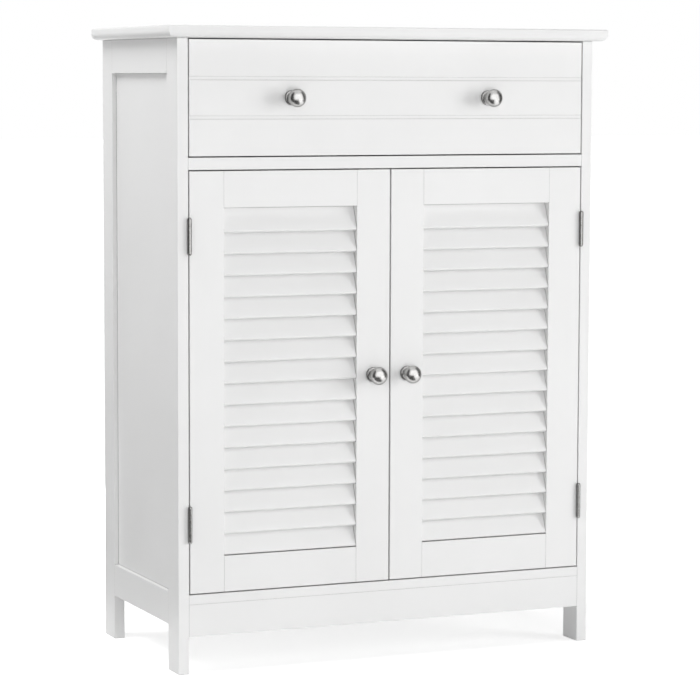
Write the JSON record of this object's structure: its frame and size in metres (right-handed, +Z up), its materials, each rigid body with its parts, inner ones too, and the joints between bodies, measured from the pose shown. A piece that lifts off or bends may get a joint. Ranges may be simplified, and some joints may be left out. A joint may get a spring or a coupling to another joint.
{
  "type": "louvred door cabinet",
  "caption": "Free-standing white cabinet with a grooved drawer over a pair of inset louvred doors, framed sides with recessed panels, and short legs.",
  "frame": {"origin": "on the floor, under the middle of the whole cabinet with its knobs", "axes": "+Z up, the front faces -Y, +X to the right as seen from the front"},
  "size_m": [0.6, 0.312, 0.8],
  "materials": {
    "painted_board": "white satin paint on fibreboard",
    "painted_hardboard": "white flat paint on thin hardboard",
    "satin_nickel": "satin nickel plate",
    "beech": "planed beech with no paint",
    "white_plastic": "moulded plastic with a fine grain",
    "magnet_steel": "bare magnet with steel pole plates"
  },
  "bodies": {
    "case": {"top_board": "painted_board", "bottom_board": "painted_board", "drawer_divider": "painted_board", "front_apron": "painted_board", "back_panel": "painted_hardboard", "adjustable_shelf": "painted_board", "magnetic_catch": "white_plastic", "left_catch_magnet": "magnet_steel", "right_catch_magnet": "magnet_steel", "left_front_leg": "painted_board", "left_back_leg": "painted_board", "left_top_rail": "painted_board", "left_bottom_rail": "painted_board", "left_side_panel": "painted_board", "left_drawer_runner": "beech", "left_front_shelf_pin": "satin_nickel", "left_back_shelf_pin": "satin_nickel", "left_upper_hinge_frame_leaf": "satin_nickel", "left_upper_hinge_pin": "satin_nickel", "left_lower_hinge_frame_leaf": "satin_nickel", "left_lower_hinge_pin": "satin_nickel", "right_front_leg": "painted_board", "right_back_leg": "painted_board", "right_top_rail": "painted_board", "right_bottom_rail": "painted_board", "right_side_panel": "painted_board", "right_drawer_runner": "beech", "right_front_shelf_pin": "satin_nickel", "right_back_shelf_pin": "satin_nickel", "right_upper_hinge_frame_leaf": "satin_nickel", "right_upper_hinge_pin": "satin_nickel", "right_lower_hinge_frame_leaf": "satin_nickel", "right_lower_hinge_pin": "satin_nickel"},
    "drawer": {"drawer_front": "painted_board", "drawer_back": "painted_board", "drawer_bottom": "painted_hardboard", "drawer_left_side": "painted_board", "drawer_right_side": "painted_board", "drawer_left_knob": "satin_nickel", "drawer_right_knob": "satin_nickel"},
    "left_door": {"left_door_hinge_stile_and_slats": "painted_board", "left_door_latch_stile": "painted_board", "left_door_top_rail": "painted_board", "left_door_bottom_rail": "painted_board", "left_door_knob": "satin_nickel", "left_door_strike_plate": "satin_nickel", "left_door_upper_hinge_leaf": "satin_nickel", "left_door_lower_hinge_leaf": "satin_nickel"},
    "right_door": {"right_door_hinge_stile_and_slats": "painted_board", "right_door_latch_stile": "painted_board", "right_door_top_rail": "painted_board", "right_door_bottom_rail": "painted_board", "right_door_knob": "satin_nickel", "right_door_strike_plate": "satin_nickel", "right_door_upper_hinge_leaf": "satin_nickel", "right_door_lower_hinge_leaf": "satin_nickel"}
  },
  "joints": [
    {"name": "drawer_slide", "type": "slide", "parent": "case", "child": "drawer", "axis": [0, -1, 0], "range_m": [0, 0.18]},
    {"name": "left_door_hinge", "type": "hinge", "parent": "case", "child": "left_door", "pos_m": [-0.2702, -0.1318, 0.3617], "axis": [0, 0, -1], "range_deg": [0, 170]},
    {"name": "right_door_hinge", "type": "hinge", "parent": "case", "child": "right_door", "pos_m": [0.2702, -0.1318, 0.3617], "axis": [0, 0, 1], "range_deg": [0, 170]}
  ]
}
